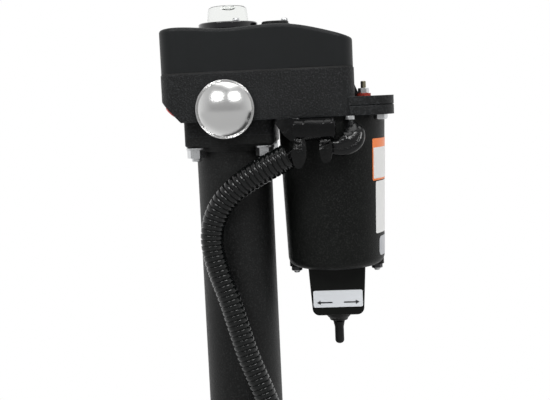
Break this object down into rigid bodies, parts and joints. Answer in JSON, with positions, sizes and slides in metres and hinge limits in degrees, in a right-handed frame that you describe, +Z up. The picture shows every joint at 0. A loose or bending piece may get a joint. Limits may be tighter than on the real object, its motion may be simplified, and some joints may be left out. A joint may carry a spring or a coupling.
{
  "type": "electric trailer jack",
  "caption": "Electric trailer tongue jack: gear head on a flanged outer tube, side-hung motor with toggle switch, screw-driven ram, drop leg with foot plate and a power lead.",
  "frame": {"origin": "middle of the foot plate's underside, on the axis of the tubes", "axes": "+Z up along the tubes, +X from the tube towards the motor, -Y towards the side with the round dust cap and the wiring"},
  "size_m": [0.3906, 0.2172, 0.7181],
  "materials": {
    "black_texture": "coarse speckled black powder coat on the casting",
    "black_powder": "fine textured black powder coat",
    "motor_black": "fine textured black paint on the motor can",
    "cover_black": "smooth satin charcoal black",
    "zinc": "bright zinc plate",
    "steel": "machined steel",
    "bearing_steel": "ground and polished",
    "mirror_steel": "mirror-polished stainless",
    "black_oxide": "black oxide with light oil",
    "bronze": "oiled sintered bronze",
    "brass": "turned brass",
    "gear_steel": "hardened and greased",
    "copper": "enamelled copper wire",
    "core_steel": "stacked steel sheets, varnished",
    "carbon": "pressed carbon",
    "ferrite": "ground ferrite",
    "phenolic": "brown laminate",
    "gasket": "dull black",
    "rubber_black": "dull moulded rubber",
    "guide_plastic": "natural white acetal",
    "bush_plastic": "black nylon",
    "red_clear": "clear red lens",
    "level_body": "moulded black",
    "level_clear": "clear colourless dome",
    "red_fibre": "red fibre washer",
    "switch_plastic": "fine-grained black",
    "label_film": "pale film with two black arrows",
    "tape": "wrapped black vinyl tape",
    "cable_jacket": "black cable sheath",
    "conduit": "corrugated, semi-gloss black",
    "connector": "grey moulded connector"
  },
  "bodies": {
    "foot": {"foot_plate": "zinc", "drop_leg": "zinc", "ram_tube": "zinc", "ram_nut": "bronze", "ram_guide": "guide_plastic", "conduit_coil": "conduit", "lead_connector": "connector"},
    "pin": {"foot_pin": "zinc", "pin_ring": "zinc"},
    "jack_body": {"outer_tube": "black_powder", "lower_guide": "bush_plastic", "top_flange": "black_powder", "flange_studs": "zinc", "flange_washers": "zinc", "flange_nuts": "zinc", "gear_housing": "black_texture", "head_gasket": "gasket", "head_cover": "cover_black", "cover_screws": "black_oxide", "level_base": "level_body", "level_dome": "level_clear", "trim_screws": "zinc", "side_cap": "mirror_steel", "red_lens": "red_clear", "head_bushes": "bronze", "thrust_race_upper": "bearing_steel", "thrust_balls": "bearing_steel", "motor_end_plate": "black_texture", "motor_bolts": "zinc", "motor_housing": "motor_black", "through_bolts": "zinc", "motor_bearings": "bearing_steel", "brush_holder": "phenolic", "brushes": "carbon", "motor_magnets": "ferrite", "terminal_stud": "brass", "terminal_washer": "red_fibre", "terminal_nut": "zinc", "switch_housing": "switch_plastic", "switch_label": "label_film", "switch_body": "switch_plastic", "switch_boot": "rubber_black", "taped_loom": "tape", "cable_loop": "cable_jacket", "cable_ferrules": "zinc", "power_conduit": "conduit"},
    "screw": {"lift_screw": "steel", "gear_key": "steel", "final_gear": "gear_steel", "screw_circlip": "black_oxide", "thrust_race_lower": "bearing_steel"},
    "layshaft": {"override_shaft": "gear_steel", "intermediate_gear": "gear_steel"},
    "armature": {"armature_shaft": "steel", "motor_pinion": "gear_steel", "armature_core": "core_steel", "armature_windings": "copper", "commutator": "copper"},
    "toggle": {"toggle_lever": "rubber_black"},
    "override_flap": {"override_cover": "black_powder"}
  },
  "joints": [
    {"name": "motor_spin", "type": "hinge", "parent": "jack_body", "child": "armature", "pos_m": [0.084, 0, 0.56], "axis": [0, 0, 1], "range_deg": [0, 364800]},
    {"name": "lift", "type": "slide", "parent": "foot", "child": "jack_body", "axis": [0, 0, 1], "range_m": [0, 0.38001]},
    {"name": "screw_spin", "type": "hinge", "parent": "jack_body", "child": "screw", "pos_m": [0, 0, 0.6], "axis": [0, 0, 1], "range_deg": [0, 27361]},
    {"name": "layshaft_spin", "type": "hinge", "parent": "jack_body", "child": "layshaft", "pos_m": [0.039, 0, 0.65], "axis": [0, 0, 1], "range_deg": [-91201, 0]},
    {"name": "toggle_tilt", "type": "hinge", "parent": "jack_body", "child": "toggle", "pos_m": [0.084, -0.001, 0.4595], "axis": [0, 1, 0], "range_deg": [-14, 14], "stiffness_Nm_per_rad": 0.06},
    {"name": "override_swing", "type": "hinge", "parent": "jack_body", "child": "override_flap", "pos_m": [0.0478, 0, 0.7009], "axis": [0, 0, 1], "range_deg": [0, 110]},
    {"name": "pin_pull", "type": "slide", "parent": "foot", "child": "pin", "axis": [-1, 0, 0], "range_m": [0, 0.09]}
  ],
  "couplings": [
    {"joint": "lift", "follows": "motor_spin", "m_per_rad": 0.000059683},
    {"joint": "screw_spin", "follows": "motor_spin", "ratio": 0.075},
    {"joint": "layshaft_spin", "follows": "motor_spin", "ratio": -0.25}
  ]
}
